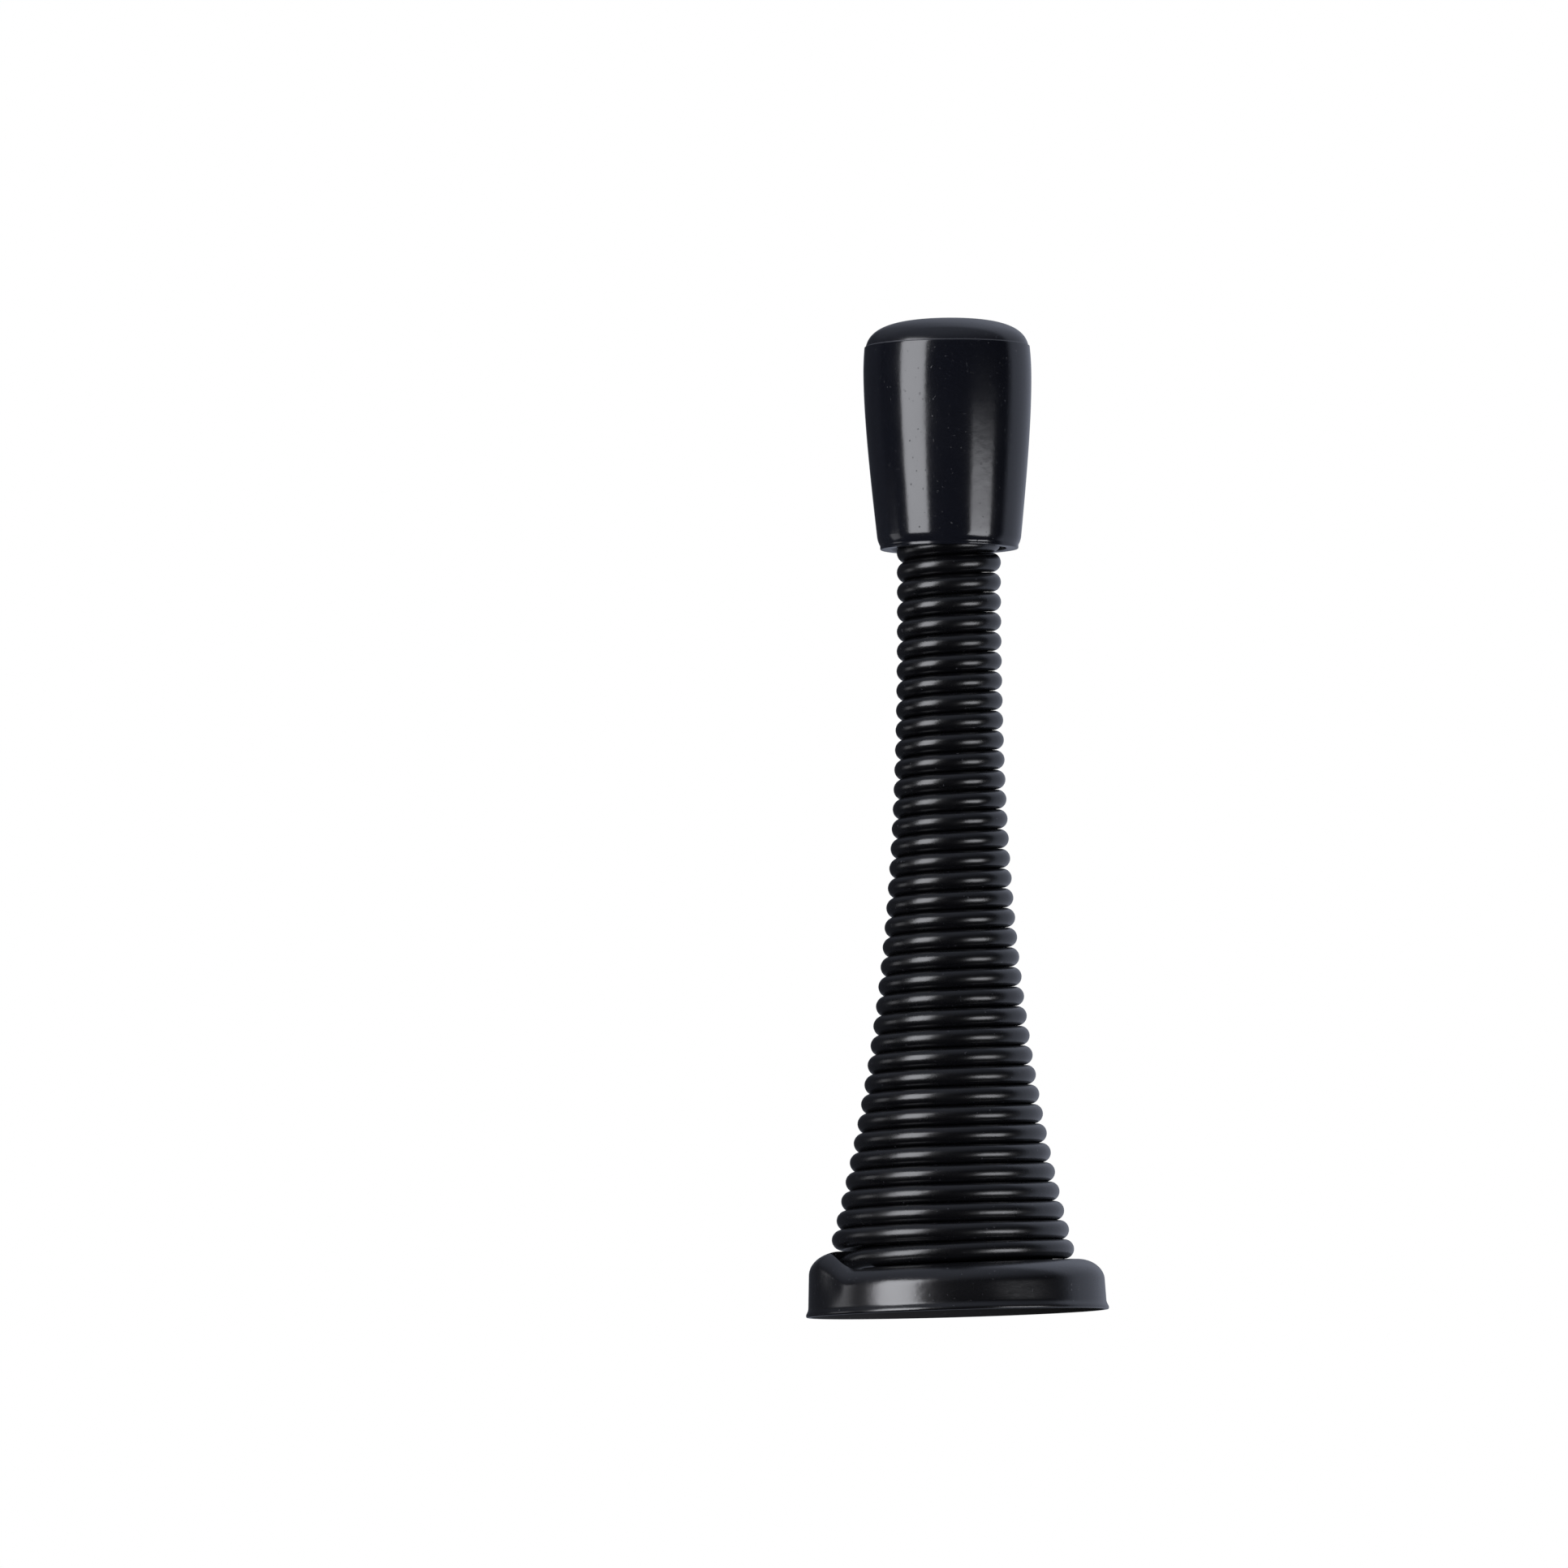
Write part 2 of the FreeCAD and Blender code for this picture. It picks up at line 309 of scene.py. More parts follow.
# %% Curves for sections
ROUND = 0.5523  # how far towards the corner a quarter round's handles reach
OGEE_REACH = 0.55  # and how far across an S curve's do


def bezier(*poles, steps=12):
    """Points on the Bezier curve of the poles, ends included: poles are blended in pairs, a * (1 - t)
    + b * t, until one is left."""
    t = np.linspace(0.0, 1.0, steps + 1)[:, None]
    curve = [np.repeat(np.array([p], dtype=float), len(t), axis=0) for p in poles]
    while len(curve) > 1:
        curve = [a * (1 - t) + b * t for a, b in zip(curve, curve[1:])]
    return curve[0]


def line(a, b, steps=4):
    """The straight run a * (1 - t) + b * t."""
    return bezier(a, b, steps=steps)


def quarter(a, corner, b, steps=12):
    """A quarter round from a to b: its handles are a and b, each moved towards the corner."""
    p = (a[0] + (corner[0] - a[0]) * ROUND, a[1] + (corner[1] - a[1]) * ROUND)
    q = (b[0] + (corner[0] - b[0]) * ROUND, b[1] + (corner[1] - b[1]) * ROUND)
    return bezier(a, p, q, b, steps=steps)


def ogee(a, b, steps=12):
    """A level-ended S curve from a to b: its handles are a and b, each moved along its radius."""
    half = (b[0] - a[0]) * OGEE_REACH
    return bezier(a, (a[0] + half, a[1]), (b[0] - half, b[1]), b, steps=steps)


def joined(*runs):
    """One outline from runs that end where the next begins."""
    return np.vstack([run[:-1] for run in runs[:-1]] + [runs[-1]])


print("half way round a unit quarter:", quarter((1, 0), (1, 1), (0, 1), 2)[1].round(3))

# %% Ledge and fold
FOLD_SPAN = 360.0 - (RAMP_HIGH - RAMP_LOW)
FOLD_PINCH = 0.25
HUB_LIFT = 0.62
HUB_TOP = ramp_height(RAMP_HIGH) + HUB_LIFT


def ledge_height(deg):
    """Ramp height at an azimuth from RAMP_LOW to RAMP_LOW + 360, and top + (bottom - top) * smooth(u)
    over the fold."""
    if deg <= RAMP_HIGH:
        return ramp_height(deg)
    top, bottom = ramp_height(RAMP_HIGH), ramp_height(RAMP_LOW)
    return top + (bottom - top) * float(smooth((deg - RAMP_HIGH) / FOLD_SPAN))


def pinch(deg):
    """How far the fold draws the top of the wall inwards: 16 * u * u * (1 - u) ** 2 of the most, where
    u runs over the fold, so it is flat at both ends."""
    u = max(0.0, (deg - RAMP_HIGH) / FOLD_SPAN)
    return FOLD_PINCH * 16.0 * u * u * (1.0 - u) ** 2


print("the fold spans", FOLD_SPAN, "degrees, and the raised middle lies at", round(HUB_TOP, 2))

# %% Places on the cup's section
WALL_DRAFT = 0.047
LIP_RADIUS = WALL_RADIUS + 0.21
LIP_HEIGHT = 0.75
SHOULDER_REACH = 2.2
SHOULDER_DROP = 1.75
HUB_GAP = 0.326
HUB_RUN = 1.3


def section_places(deg):
    """Heights of the ledge and of the wall's top, then radii from the wall's top inwards. The wall
    leans in by its draft for each millimetre over the lip."""
    ledge = ledge_height(deg)
    wall_top = ledge - SHOULDER_DROP
    top_radius = WALL_RADIUS - WALL_DRAFT * (wall_top - LIP_HEIGHT) - pinch(deg)
    flat_in = SEAT_RADIUS - WIRE_RADIUS - HUB_GAP
    return ledge, wall_top, top_radius, top_radius - SHOULDER_REACH, flat_in, flat_in - HUB_RUN


print("places at the front:", [round(v, 2) for v in section_places(-90.0)])

# %% The cup's outer side
SCREW_HOLE = 2.25
CUT_ROUND = 0.08  # of cut edges
UNDER_ROUND = 0.06  # and of the screw hole's lower one
LIP_TURN = 0.12
LIP_BULGE = LIP_RADIUS + 0.4 * LIP_TURN
LIP_POLES_OUT = (0.55 * LIP_HEIGHT, 0.4 * LIP_HEIGHT)
LIP_POLES_IN = (0.2 * LIP_HEIGHT, 0.5 * LIP_HEIGHT)


def outer_side(ledge, wall_top, top_radius, flat_out, flat_in, hub_out):
    """The side that the photograph shows, from the screw hole's edge to the foot of the lip."""
    hole, top = SCREW_HOLE, HUB_TOP
    return joined(
        line((hole, top - SHEET + UNDER_ROUND), (hole, top - CUT_ROUND), 1),
        quarter((hole, top - CUT_ROUND), (hole, top), (hole + CUT_ROUND, top), 4),
        line((hole + CUT_ROUND, top), (hub_out, top), 6),
        ogee((hub_out, top), (flat_in, ledge), 14),
        line((flat_in, ledge), (flat_out, ledge), 6),
        quarter((flat_out, ledge), (top_radius, ledge), (top_radius, wall_top), 16),
        line((top_radius, wall_top), (WALL_RADIUS, LIP_HEIGHT), 6),
        bezier((WALL_RADIUS, LIP_HEIGHT), (WALL_RADIUS, LIP_POLES_OUT[0]), (LIP_BULGE, LIP_POLES_OUT[1]),
               (LIP_BULGE, 0.0), (LIP_RADIUS - LIP_TURN, 0.0), steps=12),
    )


print("points on the outer side:", len(outer_side(*section_places(-90.0))))

# %% The cup's inner side
BEND_LAG = 0.7 * SHEET  # a bend's inner face starts this much nearer to the axis


def inner_side(ledge, wall_top, top_radius, flat_out, flat_in, hub_out):
    """The side towards the wall, a sheet's thickness inside the other, back to the screw hole."""
    hole, under, bottom = SCREW_HOLE, HUB_TOP - SHEET, ledge - SHEET
    wall_in, top_in, lip_in = WALL_RADIUS - SHEET, top_radius - SHEET, LIP_RADIUS - SHEET
    return joined(
        line((LIP_RADIUS - LIP_TURN, 0.0), (lip_in + CUT_ROUND, 0.0), 2),
        quarter((lip_in + CUT_ROUND, 0.0), (lip_in, 0.0), (lip_in, CUT_ROUND), 4),
        bezier((lip_in, CUT_ROUND), (lip_in, LIP_POLES_IN[0]), (wall_in, LIP_POLES_IN[1]),
               (wall_in, LIP_HEIGHT), steps=8),
        line((wall_in, LIP_HEIGHT), (top_in, wall_top), 4),
        quarter((top_in, wall_top), (top_in, bottom), (flat_out, bottom), 12),
        line((flat_out, bottom), (flat_in - BEND_LAG, bottom), 6),
        ogee((flat_in - BEND_LAG, bottom), (hub_out - BEND_LAG, under), 12),
        line((hub_out - BEND_LAG, under), (hole + UNDER_ROUND, under), 4),
        quarter((hole + UNDER_ROUND, under), (hole, under), (hole, under + UNDER_ROUND), 3),
    )


print("points on the inner side:", len(inner_side(*section_places(-90.0))))

# %% The cup's shell
def cup_section(deg):
    """Closed outline of the sheet at an azimuth, in (radius, height): both sides, end to end."""
    places = section_places(deg)
    return joined(outer_side(*places), inner_side(*places))[:-1]


def cup_mesh(ramp_steps=160, fold_steps=28):
    """The section carried round the axis, closed on itself: (radius * cos, radius * sin, height)."""
    degs = np.concatenate([
        np.linspace(RAMP_LOW, RAMP_HIGH, ramp_steps, endpoint=False),
        np.linspace(RAMP_HIGH, RAMP_LOW + 360.0, fold_steps, endpoint=False),
    ])
    sections = np.array([cup_section(deg) for deg in degs])
    radius, height = sections[..., 0], sections[..., 1]
    angle = np.radians(degs)[:, None]
    rings = np.stack([radius * np.cos(angle), radius * np.sin(angle), height], axis=-1)
    faces = grid_faces(rings.shape[0], rings.shape[1], wrap_rows=True, wrap_columns=True)
    return rings.reshape(-1, 3), [f[::-1] for f in faces]


cup = make_object("cup_shell", *cup_mesh())

# %% [markdown]
# ## The window
# The wire goes through a window that is pierced in the fold after the cup is drawn. Faces
# could be left out of the grid instead, but then the window's edges would have to follow
# the grid. One Boolean with a closed sector cuts them clean, and it is kept as plain mesh.

# %% The window
WINDOW_GAP_IN = 0.25
WINDOW_GAP_OUT = 0.6
WINDOW_SLACK = 3.0  # degrees past either end of the fold
WINDOW_LOW, WINDOW_HIGH = 2.0, 7.0


def window_block():
    """The sector of sheet that is pierced out of the fold: four corners carried round the spring's
    foot from one end of the fold to the other."""
    inner = TAIL_RADIUS - WIRE_RADIUS - WINDOW_GAP_IN
    outer = TAIL_RADIUS + WIRE_RADIUS + WINDOW_GAP_OUT
    ends = RAMP_HIGH - WINDOW_SLACK, RAMP_HIGH + FOLD_SPAN + WINDOW_SLACK
    angle = np.radians(np.linspace(*ends, 25))[:, None]
    radius = np.array([inner, outer, outer, inner])
    height = np.array([WINDOW_LOW, WINDOW_LOW, WINDOW_HIGH, WINDOW_HIGH]) + 0 * angle
    return np.stack([SEAT_SHIFT + radius * np.cos(angle), radius * np.sin(angle), height], axis=-1)


print("the window is", round(WIRE + WINDOW_GAP_IN + WINDOW_GAP_OUT, 2), "mm wide")

# %% Pierce the cup
def pierce(target, cutter):
    """Target less cutter, kept as plain mesh."""
    cut = target.modifiers.new("window", "BOOLEAN")
    cut.operation = "DIFFERENCE"
    cut.solver = "EXACT"
    cut.object = cutter
    shaped = target.evaluated_get(bpy.context.evaluated_depsgraph_get())
    mesh = bpy.data.meshes.new_from_object(shaped)
    target.modifiers.clear()
    target.data = mesh
    mesh.set_sharp_from_angle(angle=math.radians(SMOOTH_ANGLE))
    bpy.data.objects.remove(cutter)


pierce(cup, make_object("window_cutter", *closed_tube(window_block())))
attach(cup, "root")
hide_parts("base_cup")
print("the pierced cup has", len(cup.data.polygons), "faces")

# %% [markdown]
# ## The cap
# A moulding pushed over the spring's tip. Its outer form is turned about the cap's own
# axis and its bore about the spring's, which leans a little more. Two Screw modifiers
# would give two shells. Here the rings run without a break from the middle of the bore's
# floor out over the mouth and up the outside to the middle of the end.

# %% Places on the cap
CAP_MOUTH_RADIUS = 5.55
CAP_STEP_TOP = CAP_MOUTH + 0.3
CAP_WAIST = CAP_MOUTH + 1.04
CAP_WAIST_RADIUS = 5.79
CAP_WAIST_SLOPE = 0.105
CAP_BELLY = OVERALL - 4.375
CAP_BELLY_RADIUS = 6.75
CAP_SEAM = OVERALL - 2.15
CAP_SEAM_RADIUS = 6.64
CAP_END_RADIUS = CAP_SEAM_RADIUS - 0.1
CAP_MIDDLE = 0.4  # radius of the small face in the middle of the floor and of the end
print("waist, belly and seam at", round(CAP_WAIST, 2), round(CAP_BELLY, 2), round(CAP_SEAM, 2))

# %% The cap's bore
BORE_GRIP = COIL_TOP + WIRE_RADIUS + 0.02
BORE_LEAD_IN = 3.0
BORE_MOUTH = 4.63
BORE_CHAMFER = 0.1


def bore_section():
    """Floor, grip and lead-in of the bore in (radius, height)."""
    lead_in = CAP_MOUTH + BORE_LEAD_IN
    return joined(
        line((CAP_MIDDLE, CAP_FLOOR), (BORE_GRIP, CAP_FLOOR), 3),
        line((BORE_GRIP, CAP_FLOOR), (BORE_GRIP, lead_in), 8),
        line((BORE_GRIP, lead_in), (BORE_MOUTH, CAP_MOUTH + BORE_CHAMFER), 6),
    )


print("the bore grips at radius", round(BORE_GRIP, 2), "with", len(bore_section()), "points")

# %% The cap's body
BELLY_POLES = (0.43, 0.25)  # how far up from the waist and down from the belly, of the way between
SEAM_ROUND = 0.05


def body_section():
    """Mouth, waist and belly in (radius, height), up to the seam. The middle poles of each curve set
    how full it is."""
    mouth, mouth_edge = CAP_MOUTH_RADIUS, CAP_MOUTH_RADIUS - CUT_ROUND
    half_waist = (CAP_WAIST - CAP_STEP_TOP) / 2
    rise, drop = ((CAP_BELLY - CAP_WAIST) * pole for pole in BELLY_POLES)
    return joined(
        line((BORE_MOUTH + BORE_CHAMFER, CAP_MOUTH), (mouth_edge, CAP_MOUTH), 4),
        quarter((mouth_edge, CAP_MOUTH), (mouth, CAP_MOUTH), (mouth, CAP_MOUTH + CUT_ROUND), 4),
        line((mouth, CAP_MOUTH + CUT_ROUND), (mouth, CAP_STEP_TOP), 2),
        bezier((mouth, CAP_STEP_TOP),
               (CAP_WAIST_RADIUS - CAP_WAIST_SLOPE * half_waist, CAP_STEP_TOP + half_waist),
               (CAP_WAIST_RADIUS, CAP_WAIST), steps=10),
        bezier((CAP_WAIST_RADIUS, CAP_WAIST),
               (CAP_WAIST_RADIUS + CAP_WAIST_SLOPE * rise, CAP_WAIST + rise),
               (CAP_BELLY_RADIUS, CAP_BELLY - drop), (CAP_BELLY_RADIUS, CAP_BELLY), steps=40),
        bezier((CAP_BELLY_RADIUS, CAP_BELLY), (CAP_BELLY_RADIUS, (CAP_BELLY + CAP_SEAM) / 2),
               (CAP_SEAM_RADIUS, CAP_SEAM - SEAM_ROUND), steps=12),
    )


print("points on the body:", len(body_section()))

# %% The cap's end
DOME_RISE = 1.3
DOME_LEAN = 0.25
DOME_PULL = 1.7
DOME_REACH = 5.6


def end_section():
    """The step at the seam, the dome and the flat of the end in (radius, height)."""
    base = CAP_END_RADIUS
    return joined(
        bezier((CAP_SEAM_RADIUS, CAP_SEAM - SEAM_ROUND), (CAP_SEAM_RADIUS, CAP_SEAM), (base, CAP_SEAM),
               steps=4),
        bezier((base, CAP_SEAM), (base - DOME_LEAN, CAP_SEAM + DOME_RISE),
               (base - DOME_PULL, OVERALL), (base - DOME_REACH, OVERALL), steps=30),
        line((base - DOME_REACH, OVERALL), (CAP_MIDDLE, OVERALL), 2),
    )


print("points on the end:", len(end_section()))

# %% The cap's shell
CAP_LEAN = math.radians(1.1)
CAP_PIVOT = spring_to_part(0.0, 0.0, (CAP_MOUTH + CAP_FLOOR) / 2)


def cap_rings(around=160):
    """Rings of radius * (cos, sin) at each height of the sections. The bore leans with the spring, and
    the outside is turned by the cap's own lean about a pivot half way up the bore."""
    turn = np.linspace(0, 2 * math.pi, around, endpoint=False)
    radius, height = bore_section().T[..., None]
    bore = spring_to_part(radius * np.cos(turn), radius * np.sin(turn), height)
    radius, height = joined(body_section(), end_section()).T[..., None]
    x, y, rise = radius * np.cos(turn), radius * np.sin(turn), height - CAP_PIVOT[2]
    outside = np.stack([CAP_PIVOT[0] + x * math.cos(CAP_LEAN) + rise * math.sin(CAP_LEAN), y,
                        CAP_PIVOT[2] + rise * math.cos(CAP_LEAN) - x * math.sin(CAP_LEAN)], axis=-1)
    return np.concatenate([bore, outside])


cap = make_object("cap_moulding", *closed_tube(cap_rings()))
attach(cap, "root")
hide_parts("tip_cap")

# %% [markdown]
# ## Finishes
# Images could hold the finishes, but noise in each piece's own coordinates has no seams
# and stays sharp at any size. A few helpers come first, so that each finish reads like a
# recipe: noise makes the pattern, a span picks its strength, and it goes to the colour,
# the roughness or the bump.

# %% A material and its noise
def new_material(name, colour, roughness, specular):
    """A plain material, and its tree and shader for the links that follow."""
    material = bpy.data.materials.new(name)
    material.use_nodes = True
    shader = material.node_tree.nodes["Principled BSDF"]
    shader.inputs["Base Color"].default_value = (*colour, 1.0)
    shader.inputs["Roughness"].default_value = roughness
    shader.inputs["Specular IOR Level"].default_value = specular
    print("material", name)
    return material, material.node_tree, shader


def noise(tree, scale, detail):
    """Noise in the piece's own coordinates, in features per metre."""
    place = tree.nodes.new("ShaderNodeTexCoord")
    texture = tree.nodes.new("ShaderNodeTexNoise")
    texture.inputs["Scale"].default_value = scale
    texture.inputs["Detail"].default_value = detail
    tree.links.new(place.outputs["Object"], texture.inputs["Vector"])
    return texture.outputs["Fac"]

# %% Maths on sockets
def span(tree, value, low, high, to_low, to_high):
    """to_low + (value - low) / (high - low) * (to_high - to_low), held between the last two."""
    node = tree.nodes.new("ShaderNodeMapRange")
    for socket, number in zip(("From Min", "From Max", "To Min", "To Max"), (low, high, to_low, to_high)):
        node.inputs[socket].default_value = number
    tree.links.new(value, node.inputs["Value"])
    return node.outputs["Result"]


def step_between(tree, value, ends, start, end):
    """From start to end between two values in millimetres."""
    return span(tree, value, ends[0] * MM, ends[1] * MM, start, end)


def combine(tree, operation, *values):
    """A math node fed with sockets or plain numbers."""
    node = tree.nodes.new("ShaderNodeMath")
    node.operation = operation
    for socket, value in zip(node.inputs, values):
        if isinstance(value, float):
            socket.default_value = value
        else:
            tree.links.new(value, socket)
    return node.outputs[0]


print("made span, step_between and combine")

# %% Bump and blend
def bump(tree, height, distance, under=None):
    """The surface raised by height * distance, in metres, over another bump."""
    node = tree.nodes.new("ShaderNodeBump")
    node.inputs["Distance"].default_value = distance
    tree.links.new(height, node.inputs["Height"])
    if under is not None:
        tree.links.new(under, node.inputs["Normal"])
    return node.outputs["Normal"]


def blend_colour(tree, factor, dark, light):
    """dark * (1 - factor) + light * factor."""
    node = tree.nodes.new("ShaderNodeMix")
    node.data_type = "RGBA"
    node.inputs["A"].default_value = (*dark, 1.0)
    node.inputs["B"].default_value = (*light, 1.0)
    tree.links.new(factor, node.inputs["Factor"])
    return node.outputs["Result"]


print("made bump and blend_colour")

# %% [markdown]
# ## Powder coat
# Cup and wire are powder coated: black, satin, with a fine orange peel and a few specks
# of dust. Little powder reaches the inside of the cup's rim, so the coat is duller there,
# which keeps that edge dark. A mask from the radius and the height finds the place, so no
# faces have to be picked by hand.

# %% Powder coat
NOISE_RANGE = (0.3, 0.7)  # nearly all of a noise lies in it
COAT_DRIFT, COAT_PEEL, COAT_GRAIN, COAT_DUST = 260.0, 1900.0, 9000.0, 3800.0  # features per metre
PEEL_HEIGHT, GRAIN_HEIGHT = 0.008, 0.003
DUST_PEAKS = (0.73, 0.80)
MIST_DULLNESS = 0.6


def powder_coat(name, colour, dust, specular, smoothest, roughest, dull=None):
    """Roughness drifts between two values, orange peel and a finer grain make the bump, and the peaks
    of another noise are dust. Where the mask dull is 1 the coat is only a thin mist."""
    material, tree, shader = new_material(name, colour, roughest, specular)
    gloss = span(tree, noise(tree, COAT_DRIFT, 3.0), *NOISE_RANGE, smoothest, roughest)
    if dull is not None:
        gloss = combine(tree, "MULTIPLY_ADD", dull(tree), MIST_DULLNESS, gloss)
    specks = span(tree, noise(tree, COAT_DUST, 1.0), *DUST_PEAKS, 0.0, 1.0)
    peel = bump(tree, noise(tree, COAT_PEEL, 2.0), PEEL_HEIGHT * MM)
    grain = bump(tree, noise(tree, COAT_GRAIN, 2.0), GRAIN_HEIGHT * MM, peel)
    tree.links.new(gloss, shader.inputs["Roughness"])
    tree.links.new(blend_colour(tree, specks, colour, dust), shader.inputs["Base Color"])
    tree.links.new(grain, shader.inputs["Normal"])
    return material


print("orange peel every", round(1000 / COAT_PEEL, 2), "mm, grain every", round(1000 / COAT_GRAIN, 2))

# %% Inside of the rim
RIM_EDGE = LIP_RADIUS - 0.8 * SHEET  # between the rim's inner and outer side
RIM_BLEND = 0.05
MIST_TOP = (1.2, 1.4)  # heights over which the thin coat thickens


def radius_and_height(tree):
    """Distance from the upright axis, which is the length of (x, y, 0), and height, in metres."""
    place = tree.nodes.new("ShaderNodeTexCoord").outputs["Object"]
    flat = tree.nodes.new("ShaderNodeVectorMath")
    flat.operation = "MULTIPLY"
    flat.inputs[1].default_value = (1, 1, 0)
    radius = tree.nodes.new("ShaderNodeVectorMath")
    radius.operation = "LENGTH"
    height = tree.nodes.new("ShaderNodeSeparateXYZ")
    tree.links.new(place, flat.inputs[0])
    tree.links.new(flat.outputs[0], radius.inputs[0])
    tree.links.new(place, height.inputs[0])
    return radius.outputs["Value"], height.outputs["Z"]


def inside_rim(tree):
    """1 on the inner side of the cup's rim and 0 on its outer side and above, the product of a step
    in the radius and one in the height."""
    radius, height = radius_and_height(tree)
    inner = step_between(tree, radius, (RIM_EDGE - RIM_BLEND, RIM_EDGE + RIM_BLEND), 1.0, 0.0)
    return combine(tree, "MULTIPLY", inner, step_between(tree, height, MIST_TOP, 1.0, 0.0))


print("the coat is thin inside radius", round(RIM_EDGE, 2), "up to", MIST_TOP[0])

# %% Coat the cup and the wire
CUP_BLACK, CUP_DUST = (0.0034, 0.0034, 0.0044), (0.06, 0.06, 0.065)
WIRE_BLACK, WIRE_DUST = (0.0028, 0.0028, 0.0036), (0.05, 0.05, 0.055)

cup.data.materials.clear()
cup.data.materials.append(powder_coat("cup_coat", CUP_BLACK, CUP_DUST, specular=1.0,
                                      smoothest=0.22, roughest=0.28, dull=inside_rim))
spring.data.materials.append(powder_coat("wire_coat", WIRE_BLACK, WIRE_DUST, specular=0.78,
                                         smoothest=0.24, roughest=0.30))

# %% [markdown]
# ## Moulded rubber
# The cap is a cooler black and glossier than the steel, with small pits. Past its seam
# the end is a little duller and paler. Along the seam a thin pale line is a painted
# highlight, the light that the seam's edge would catch, painted all the way round. A second
# material on the end's faces would change there too, but a mask gives the line its own
# width. The seam is square to the cap's leaning axis, so the mask measures along that axis.

# %% Height over the seam
def height_over_seam(tree):
    """Metres past the seam: the dot product of the place and the cap's axis, less the seam's own."""
    pivot = Vector(CAP_PIVOT) * MM
    axis = Vector((math.sin(CAP_LEAN), 0, math.cos(CAP_LEAN)))
    seam = CAP_SEAM * MM - pivot.z + pivot.dot(axis)
    along = tree.nodes.new("ShaderNodeVectorMath")
    along.operation = "DOT_PRODUCT"
    along.inputs[1].default_value = axis
    tree.links.new(tree.nodes.new("ShaderNodeTexCoord").outputs["Object"], along.inputs[0])
    return combine(tree, "SUBTRACT", along.outputs["Value"], seam)


print("the seam leans", round(math.degrees(CAP_LEAN), 2), "degrees to the right")

# %% Seam and end
END_STEP = (-0.02, 0.04)  # all of these are millimetres past the seam
# SEAM_IN and SEAM_OUT bound the painted highlight line along the seam.
SEAM_IN, SEAM_OUT = (-0.05, 0.0), (0.03, 0.08)


def end_and_seam(tree):
    """Two masks: 1 past the seam, and 1 on the seam, the product of a step up and a step down."""
    height = height_over_seam(tree)
    # The second mask carries the painted highlight along the seam.
    fade_in = step_between(tree, height, SEAM_IN, 0.0, 1.0)
    fade_out = step_between(tree, height, SEAM_OUT, 1.0, 0.0)
    return step_between(tree, height, END_STEP, 0.0, 1.0), combine(tree, "MULTIPLY", fade_in, fade_out)


print("the pale line is", round(SEAM_OUT[1] - SEAM_IN[0], 2), "mm wide with its soft edges")

# %% Moulded rubber
CAP_BLACK, END_BLACK = (0.0062, 0.0068, 0.0100), (0.009, 0.0095, 0.0125)
# Painted highlight: the pale grey of the line along the seam, where its edge would catch light.
SEAM_PAINTED_HIGHLIGHT = (0.06, 0.062, 0.07)
CAP_DRIFT, CAP_SKIN, CAP_PITS = 180.0, 1400.0, 4200.0  # features per metre
CAP_SMOOTHEST, CAP_ROUGHEST = 0.13, 0.20
END_DULLNESS, SEAM_DULLNESS = 0.05, 0.2
SKIN_HEIGHT, PIT_DEPTH = 0.005, 0.018
PIT_LOWS = (0.21, 0.27)


def moulded_rubber(name, specular=0.7):
    """Roughness is drift + dullness * mask for the end and for the seam. The lows of one noise are
    pits, over a slow unevenness from another."""
    material, tree, shader = new_material(name, CAP_BLACK, CAP_ROUGHEST, specular)
    end, seam = end_and_seam(tree)
    surface = blend_colour(tree, end, CAP_BLACK, END_BLACK)
    # Painted highlight: the seam mask blends the pale grey line into the base colour.
    edge = blend_colour(tree, seam, CAP_BLACK, SEAM_PAINTED_HIGHLIGHT)
    tree.links.new(surface, edge.node.inputs["A"])
    tree.links.new(edge, shader.inputs["Base Color"])
    dull = combine(tree, "MULTIPLY", seam, SEAM_DULLNESS)
    dull = combine(tree, "MULTIPLY_ADD", end, END_DULLNESS, dull)
    drift = span(tree, noise(tree, CAP_DRIFT, 3.0), *NOISE_RANGE, CAP_SMOOTHEST, CAP_ROUGHEST)
    tree.links.new(combine(tree, "ADD", dull, drift), shader.inputs["Roughness"])
    skin = bump(tree, noise(tree, CAP_SKIN, 4.0), SKIN_HEIGHT * MM)
    pits = span(tree, noise(tree, CAP_PITS, 1.0), *PIT_LOWS, 0.0, 1.0)
    tree.links.new(bump(tree, pits, PIT_DEPTH * MM, skin), shader.inputs["Normal"])
    return material


cap.data.materials.append(moulded_rubber("cap_skin"))

# %% [markdown]
# ## The floor
# The photograph is cut out on white and was taken from a little below the rim, so the
# floor lets a camera beneath it see through. To a camera above it the paper is lifted to
# white, but for the soft shadow and the space inside the cup. More light on the paper
# would do that too, but it would also light the stop.

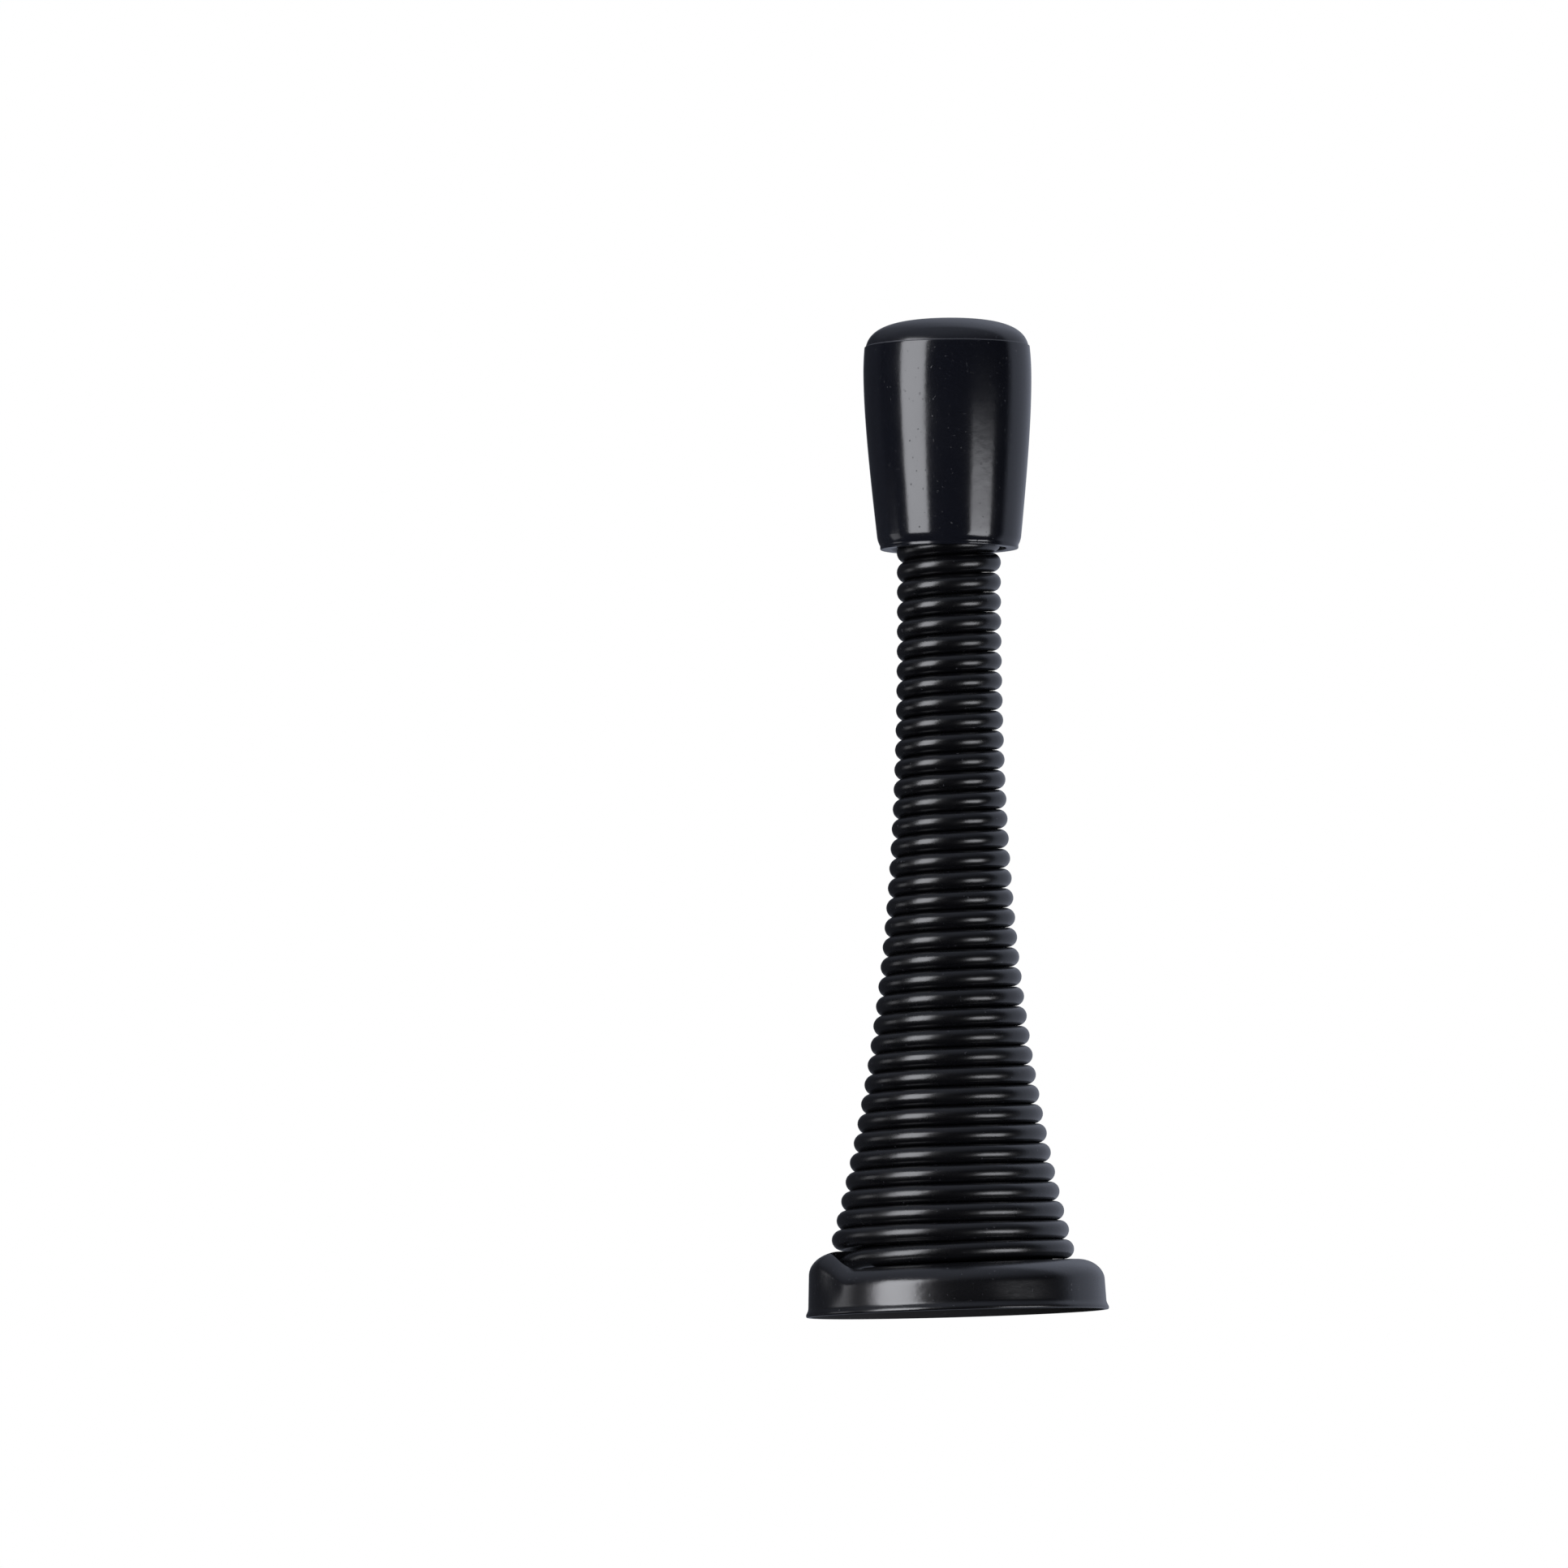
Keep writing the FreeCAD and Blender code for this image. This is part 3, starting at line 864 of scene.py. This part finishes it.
# %% Paper
def paper_surface(material, tree, shader, lift):
    """Paper + glow where the face is seen from above, clear where it is seen from below. The glow is
    lift * (1 for a camera ray) * (1 outside the cup)."""
    glow = tree.nodes.new("ShaderNodeEmission")
    lifted = tree.nodes.new("ShaderNodeAddShader")
    clear = tree.nodes.new("ShaderNodeBsdfTransparent")
    mix = tree.nodes.new("ShaderNodeMixShader")
    camera_ray = tree.nodes.new("ShaderNodeLightPath").outputs["Is Camera Ray"]
    from_below = tree.nodes.new("ShaderNodeNewGeometry").outputs["Backfacing"]
    outside = step_between(tree, radius_and_height(tree)[0], (WALL_RADIUS, LIP_RADIUS), 0.0, lift)
    tree.links.new(combine(tree, "MULTIPLY", camera_ray, outside), glow.inputs["Strength"])
    tree.links.new(shader.outputs["BSDF"], lifted.inputs[0])
    tree.links.new(glow.outputs[0], lifted.inputs[1])
    tree.links.new(from_below, mix.inputs["Fac"])
    tree.links.new(lifted.outputs[0], mix.inputs[1])
    tree.links.new(clear.outputs["BSDF"], mix.inputs[2])
    tree.links.new(mix.outputs["Shader"], tree.nodes["Material Output"].inputs["Surface"])
    return material


print("the paper is dark inside radius", WALL_RADIUS, "and lifted outside", round(LIP_RADIUS, 2))

# %% The floor
FLOOR_HALF = 1.5  # metres
PAPER = (0.86, 0.86, 0.86)


def studio_floor(lift=0.68):
    """One square of paper at height 0, which casts no shadow and doesn't show in the gloss."""
    mesh = bpy.data.meshes.new("floor")
    corners = [(x * FLOOR_HALF, y * FLOOR_HALF, 0) for x, y in ((-1, -1), (1, -1), (1, 1), (-1, 1))]
    mesh.from_pydata(corners, [], [(0, 1, 2, 3)])
    paper = new_material("floor_paper", PAPER, roughness=0.9, specular=0.1)
    mesh.materials.append(paper_surface(*paper, lift))
    floor = bpy.data.objects.new("floor", mesh)
    bpy.context.scene.collection.objects.link(floor)
    floor.visible_glossy = False
    floor.visible_shadow = False


studio_floor()

# %% [markdown]
# ## The room
# A black gloss shows nothing but what stands round it. The room is dark round the camera,
# as the photograph's reflections are, and pale behind the stop, mostly on its right,
# which edges it with light. A formula for the world is smaller than a picture of a room.

# %% The room
ROOM_TINT = (0.76, 0.82, 1.0)
LEFT_TO_RIGHT = (-0.3, 0.3)  # these and the next are parts of a direction of length 1
SHEET_SKEW = 0.1
SHEET_EDGE = (0.12, 0.30)
SKY_EDGE = (0.35, 0.95)


def studio_world(behind=0.5, behind_left=0.05, above=0.34):
    """White to the camera. As light its strength is sheet + sky, where sheet grows with how far a
    direction points away from the camera (y), and to the right (x), and sky with how far up (z)."""
    world = bpy.data.worlds.new("studio")
    world.use_nodes = True
    bpy.context.scene.world = world
    tree = world.node_tree
    light = tree.nodes["Background"]
    light.inputs["Color"].default_value = (*ROOM_TINT, 1)
    white = tree.nodes.new("ShaderNodeBackground")
    white.inputs["Color"].default_value = (1, 1, 1, 1)
    heading = tree.nodes.new("ShaderNodeSeparateXYZ")
    tree.links.new(tree.nodes.new("ShaderNodeTexCoord").outputs["Generated"], heading.inputs[0])
    side = span(tree, heading.outputs["X"], *LEFT_TO_RIGHT, behind_left, behind)
    skewed = combine(tree, "MULTIPLY_ADD", heading.outputs["X"], SHEET_SKEW, heading.outputs["Y"])
    sheet = combine(tree, "MULTIPLY", side, span(tree, skewed, *SHEET_EDGE, 0.0, 1.0))
    sky = span(tree, heading.outputs["Z"], *SKY_EDGE, 0.0, above)
    tree.links.new(combine(tree, "ADD", sheet, sky), light.inputs["Strength"])
    path = tree.nodes.new("ShaderNodeLightPath")
    mix = tree.nodes.new("ShaderNodeMixShader")
    tree.links.new(path.outputs["Is Camera Ray"], mix.inputs["Fac"])
    tree.links.new(light.outputs[0], mix.inputs[1])
    tree.links.new(white.outputs[0], mix.inputs[2])
    tree.links.new(mix.outputs[0], tree.nodes["World Output"].inputs["Surface"])
    print("world strength is up to", behind, "behind and", above, "above")


studio_world()

# %% [markdown]
# ## Lamps
# Two soft boxes, left and right of the camera, make the two bright stripes on the cap and
# on each turn of the wire. A small card close to the left of the cup lights its side.
# Sun lamps would leave only points on a gloss, so each lamp is an area with its own size.

# %% Lamps
LAMP_TINT = (0.94, 0.95, 1.0)


def soft_box(name, azimuth, elevation, distance, width, height, watts, roll=0.0, aim=OVERALL / 2):
    """An area lamp at aim + distance * heading, in metres, facing a height on the axis in millimetres.
    Azimuth is in degrees to the right of the camera, and roll tips the box's top to its own right."""
    lamp = bpy.data.lights.new(name, "AREA")
    lamp.shape = "RECTANGLE"
    lamp.size = width
    lamp.size_y = height
    lamp.energy = watts
    lamp.color = LAMP_TINT
    box = bpy.data.objects.new(name, lamp)
    a, e = math.radians(azimuth), math.radians(elevation)
    aim = Vector((0, 0, aim * MM))
    heading = Vector((math.sin(a) * math.cos(e), -math.cos(a) * math.cos(e), math.sin(e)))
    box.location = aim + distance * heading
    facing = (aim - box.location).to_track_quat("-Z", "Y")
    box.rotation_euler = (facing @ Quaternion((0, 0, 1), math.radians(-roll))).to_euler()
    bpy.context.scene.collection.objects.link(box)
    print(name, "stands at", [round(v, 3) for v in box.location])


soft_box("left_box", azimuth=-49, elevation=12.5, distance=0.9, width=0.58, height=0.74, watts=6.9,
         roll=6)
soft_box("left_card", azimuth=-98, elevation=0, distance=0.15, width=0.052, height=0.052,
         watts=0.0075, aim=27.0)
soft_box("right_box", azimuth=51, elevation=-16.5, distance=2.0, width=1.22, height=0.85, watts=13.6)

# %% [markdown]
# ## Camera
# A long lens a little below the rim. It could be moved until it looks right, but two facts
# of the photograph place it better: how many millimetres a pixel covers, and which pixel
# the middle of the rim lies on. They hold when a size of the stop changes.

# %% Camera
PHOTO_SIZE = 1932
MM_PER_PIXEL = 0.06503
RIM_PIXEL = (1179.5, 1618.6)


def photo_camera(distance=1150.0, height=-30.0, roll=math.radians(1.7), lens=330.0, sensor=36.0):
    """The aim is the rim's middle moved by its pixel's distance from the picture's, along the picture's
    own right and up, which the roll turns."""
    across = (PHOTO_SIZE / 2 - RIM_PIXEL[0]) * MM_PER_PIXEL
    down = (RIM_PIXEL[1] - PHOTO_SIZE / 2) * MM_PER_PIXEL
    right = Vector((math.cos(roll), 0, -math.sin(roll)))
    up = Vector((math.sin(roll), 0, math.cos(roll)))
    aim = right * across + up * down
    place = Vector((aim.x, -distance, height))
    data = bpy.data.cameras.new("camera")
    data.lens = lens
    data.sensor_width = sensor
    camera = bpy.data.objects.new("camera", data)
    camera.location = place * MM
    look = (aim - place).normalized()
    side = look.cross(up).normalized()
    top = side.cross(look)
    camera.rotation_euler = Matrix((side, top, -look)).transposed().to_euler()
    bpy.context.scene.collection.objects.link(camera)
    bpy.context.scene.camera = camera
    print("camera at", [round(v, 4) for v in camera.location])


photo_camera()
bpy.context.scene.view_settings.view_transform = "Standard"
